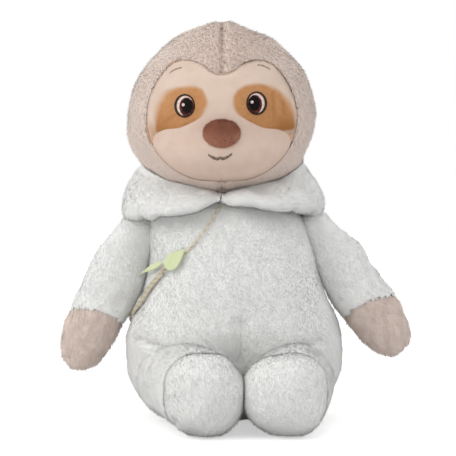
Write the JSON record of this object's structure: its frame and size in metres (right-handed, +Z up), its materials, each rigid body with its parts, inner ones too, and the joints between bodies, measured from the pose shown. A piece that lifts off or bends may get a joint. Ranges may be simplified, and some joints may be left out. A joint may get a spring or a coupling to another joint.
{
  "type": "plush sloth",
  "caption": "Seated plush sloth in a white hooded suit, with a padded nose, embroidered eyes, hanging arms and a leaf sash across its chest.",
  "frame": {"origin": "on the surface that it sits on, under the middle of the seat", "axes": "+Z up; -Y the way the toy faces; +X the toy's own left"},
  "size_m": [0.3156, 0.2316, 0.3569],
  "materials": {
    "white_plush": "short soft pile",
    "taupe_plush": "short soft pile",
    "polyester_filling": "loose fibre",
    "peach_velboa": "very short pile",
    "tan_velboa": "very short pile",
    "dark_thread": "embroidery",
    "white_thread": "embroidery",
    "brown_thread": "embroidery",
    "brown_velboa": "very short pile",
    "pellet_cloth": "woven bag of pellets",
    "green_felt": "felt",
    "tan_cord": "twisted cord",
    "brown_ribbon": "woven ribbon"
  },
  "bodies": {
    "torso": {"torso_front": "white_plush", "torso_back": "white_plush", "torso_filling": "polyester_filling", "pellet_bag": "pellet_cloth", "collar_left": "white_plush", "collar_right": "white_plush", "sash_cord": "tan_cord", "sash_ribbon": "brown_ribbon", "leaf_knot": "brown_ribbon"},
    "head": {"head_side_left": "taupe_plush", "head_side_right": "taupe_plush", "head_filling": "polyester_filling", "face_upper": "peach_velboa", "muzzle": "peach_velboa", "eye_patch_left": "tan_velboa", "eye_patch_right": "tan_velboa", "eye_outline_left": "dark_thread", "eye_outline_right": "dark_thread", "eye_white_left": "white_thread", "eye_white_right": "white_thread", "eye_iris_left": "brown_thread", "eye_iris_right": "brown_thread", "eye_glint_left": "white_thread", "eye_glint_right": "white_thread", "brow_left": "dark_thread", "brow_right": "dark_thread", "mouth": "dark_thread", "nose_cover": "brown_velboa", "nose_filling": "polyester_filling"},
    "hood": {"hood_lining": "white_plush", "hood_cover": "white_plush"},
    "left_arm": {"sleeve_left": "white_plush", "paw_left": "taupe_plush", "arm_filling_left": "polyester_filling"},
    "right_arm": {"sleeve_right": "white_plush", "paw_right": "taupe_plush", "arm_filling_right": "polyester_filling"},
    "left_leg": {"leg_left": "white_plush", "leg_filling_left": "polyester_filling", "foot_left": "white_plush", "foot_filling_left": "polyester_filling"},
    "right_leg": {"leg_right": "white_plush", "leg_filling_right": "polyester_filling", "foot_right": "white_plush", "foot_filling_right": "polyester_filling"},
    "large_leaf": {"leaf_large": "green_felt"},
    "small_leaf": {"leaf_small": "green_felt"}
  },
  "joints": [
    {"name": "head_turn", "type": "hinge", "parent": "torso", "child": "head", "pos_m": [-0.009, -0.004, 0.204], "axis": [0, 0, 1], "range_deg": [-30, 30], "stiffness_Nm_per_rad": 0.2},
    {"name": "hood_lift", "type": "hinge", "parent": "torso", "child": "hood", "pos_m": [-0.009, 0.0762, 0.238], "axis": [1, 0, 0], "range_deg": [0, 30]},
    {"name": "left_arm_swing", "type": "hinge", "parent": "torso", "child": "left_arm", "pos_m": [0.07909, 0, 0.169], "axis": [-1, 0, 0], "range_deg": [-25, 60], "stiffness_Nm_per_rad": 0.14},
    {"name": "right_arm_swing", "type": "hinge", "parent": "torso", "child": "right_arm", "pos_m": [-0.08491, 0, 0.169], "axis": [-1, 0, 0], "range_deg": [-25, 60], "stiffness_Nm_per_rad": 0.14},
    {"name": "left_leg_lift", "type": "hinge", "parent": "torso", "child": "left_leg", "pos_m": [0.054, -0.026, 0.038], "axis": [-1, 0, 0], "range_deg": [0, 20], "stiffness_Nm_per_rad": 0.4},
    {"name": "right_leg_lift", "type": "hinge", "parent": "torso", "child": "right_leg", "pos_m": [-0.047, -0.026, 0.038], "axis": [-1, 0, 0], "range_deg": [0, 20], "stiffness_Nm_per_rad": 0.4},
    {"name": "large_leaf_flip", "type": "hinge", "parent": "torso", "child": "large_leaf", "pos_m": [-0.05815, -0.05072, 0.138], "axis": [0.5267, -0.3153, -0.7894], "range_deg": [0, 35], "stiffness_Nm_per_rad": 0.001},
    {"name": "small_leaf_flip", "type": "hinge", "parent": "torso", "child": "small_leaf", "pos_m": [-0.05913, -0.05186, 0.138], "axis": [-0.1487, 0.212, 0.9659], "range_deg": [0, 10], "stiffness_Nm_per_rad": 0.001}
  ]
}
